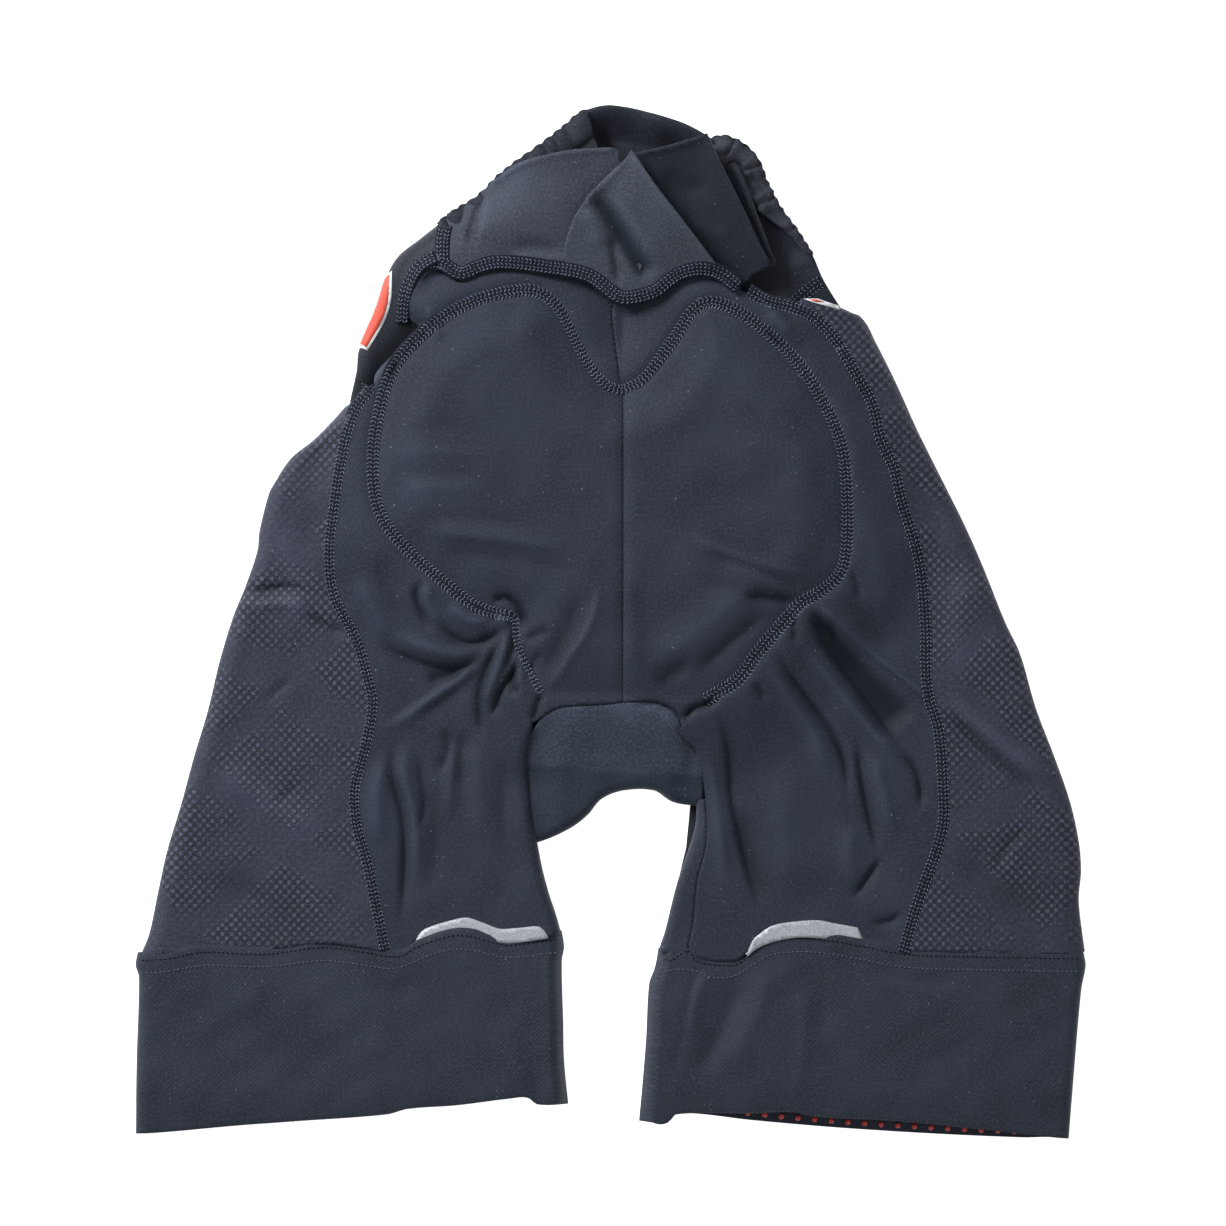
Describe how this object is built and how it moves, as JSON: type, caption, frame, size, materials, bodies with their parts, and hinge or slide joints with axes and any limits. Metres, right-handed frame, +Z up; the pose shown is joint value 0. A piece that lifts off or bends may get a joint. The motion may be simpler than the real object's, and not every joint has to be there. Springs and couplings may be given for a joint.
{
  "type": "padded cycling shorts",
  "caption": "Stretch cycling shorts with a sewn-in seat pad, lying flat back side up, with folding legs and turn-up cuffs.",
  "frame": {"origin": "centre of the lying shorts on the surface they rest on", "axes": "+X to the wearer's right, +Y from the hems to the waist, +Z up, out of the wearer's back"},
  "size_m": [0.4219, 0.458, 0.027],
  "materials": {
    "knit": "smooth warp-knit elastane, very dark blue-grey, faint sheen",
    "embossed_knit": "charcoal knit with small raised dots in a checker",
    "cuff_knit": "dense elastic knit",
    "thread": "black flatlock thread",
    "foam": "open-cell pad foam",
    "pad_face": "brushed pad face cloth",
    "elastic": "gathered elastic under knit",
    "reflective": "light grey reflective film",
    "badge": "red heat-pressed patch with a white border",
    "silicone": "gripper tape with red silicone dots"
  },
  "bodies": {
    "seat": {"rear_panel_left": "knit", "side_panel_hip_left": "embossed_knit", "side_seam_hip_left": "thread", "hip_badge_left": "badge", "front_panel_left": "knit", "rear_panel_right": "knit", "side_panel_hip_right": "embossed_knit", "side_seam_hip_right": "thread", "hip_badge_right": "badge", "front_panel_right": "knit", "rear_yoke": "knit", "yoke_seam": "thread", "centre_back_seam": "thread", "centre_back_seam_top": "thread", "pad_stitching": "thread", "pad_base_foam": "foam", "pad_face_cloth": "pad_face", "pad_sit_insert_left": "foam", "pad_sit_insert_right": "foam", "pad_perineal_insert": "foam", "pad_front_insert": "foam", "gusset": "knit", "crotch_seam": "thread", "waist_elastic_front": "elastic", "waist_elastic_rear": "elastic"},
    "left_leg": {"rear_panel_leg_left": "knit", "front_panel_leg_left": "knit", "side_panel_leg_left": "embossed_knit", "side_seam_leg_left": "thread", "cuff_top_band_left": "cuff_knit", "cuff_seam_left": "thread", "reflective_tab_left": "reflective"},
    "right_leg": {"rear_panel_leg_right": "knit", "front_panel_leg_right": "knit", "side_panel_leg_right": "embossed_knit", "side_seam_leg_right": "thread", "cuff_top_band_right": "cuff_knit", "cuff_seam_right": "thread", "reflective_tab_right": "reflective", "inseam_right": "thread"},
    "left_cuff": {"cuff_left": "cuff_knit", "gripper_tape_left": "silicone"},
    "right_cuff": {"cuff_right": "cuff_knit", "gripper_tape_right": "silicone"}
  },
  "joints": [
    {"name": "left_leg_fold", "type": "hinge", "parent": "seat", "child": "left_leg", "pos_m": [-0.1, -0.0788, 0.026], "axis": [-1, 0, 0], "range_deg": [0, 165]},
    {"name": "right_leg_fold", "type": "hinge", "parent": "seat", "child": "right_leg", "pos_m": [0.12, -0.0788, 0.026], "axis": [-1, 0, 0], "range_deg": [0, 165]},
    {"name": "left_cuff_turn_up", "type": "hinge", "parent": "left_leg", "child": "left_cuff", "pos_m": [-0.115, -0.1595, 0.0115], "axis": [-1, 0, 0], "range_deg": [0, 175]},
    {"name": "right_cuff_turn_up", "type": "hinge", "parent": "right_leg", "child": "right_cuff", "pos_m": [0.114, -0.1595, 0.0115], "axis": [-1, 0, 0], "range_deg": [0, 175]}
  ]
}
